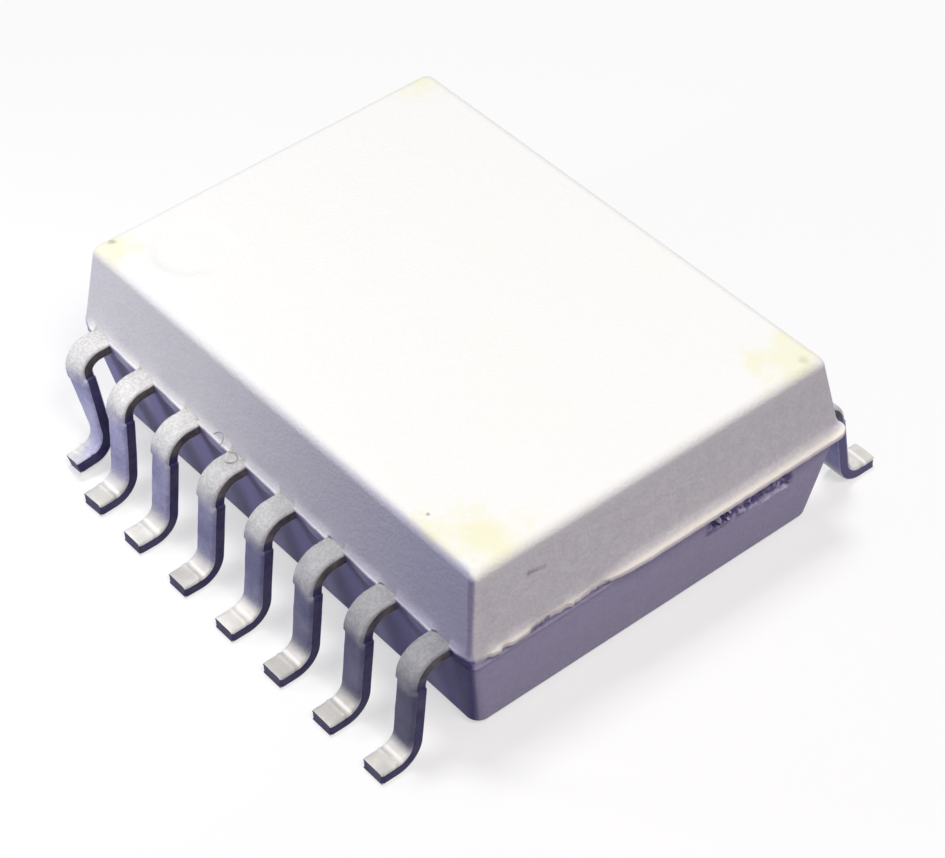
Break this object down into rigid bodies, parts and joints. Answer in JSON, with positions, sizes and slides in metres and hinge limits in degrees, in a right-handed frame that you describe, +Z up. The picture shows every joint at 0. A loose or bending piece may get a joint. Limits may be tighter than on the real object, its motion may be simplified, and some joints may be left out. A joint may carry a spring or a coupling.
{
  "type": "surface-mount optocoupler chip",
  "caption": "White moulded wide-body chip on two rows of gull-wing leads that carries signals by light between two isolated circuits",
  "frame": {"origin": "on the seating plane, under the middle of the two rows of feet", "axes": "+X along the rows of leads from lead 1 to lead 8, +Y across the body to the row of leads 9 to 16, +Z up"},
  "size_m": [0.0104, 0.0104, 0.0035],
  "materials": {
    "moulding": "matte",
    "leads": "satin",
    "attach": "matte",
    "emitter": "gloss",
    "detector": "gloss",
    "wire": "polished",
    "dome": "clear"
  },
  "bodies": {
    "root": {"moulded_body": "moulding", "lead_1": "leads", "lead_2": "leads", "lead_3": "leads", "lead_4": "leads", "lead_5": "leads", "lead_6": "leads", "lead_7": "leads", "lead_8": "leads", "lead_9": "leads", "lead_10": "leads", "lead_11": "leads", "lead_12": "leads", "lead_13": "leads", "lead_14": "leads", "lead_15": "leads", "lead_16": "leads", "emitter_attach_1": "attach", "emitter_attach_2": "attach", "emitter_attach_3": "attach", "emitter_attach_4": "attach", "emitter_die_1": "emitter", "emitter_die_2": "emitter", "emitter_die_3": "emitter", "emitter_die_4": "emitter", "emitter_wire_1": "wire", "emitter_wire_2": "wire", "emitter_wire_3": "wire", "emitter_wire_4": "wire", "detector_attach_1": "attach", "detector_attach_2": "attach", "detector_attach_3": "attach", "detector_attach_4": "attach", "detector_die_1": "detector", "detector_die_2": "detector", "detector_die_3": "detector", "detector_die_4": "detector", "detector_wire_1": "wire", "detector_wire_2": "wire", "detector_wire_3": "wire", "detector_wire_4": "wire", "light_dome_1": "dome", "light_dome_2": "dome", "light_dome_3": "dome", "light_dome_4": "dome"}
  },
  "joints": []
}
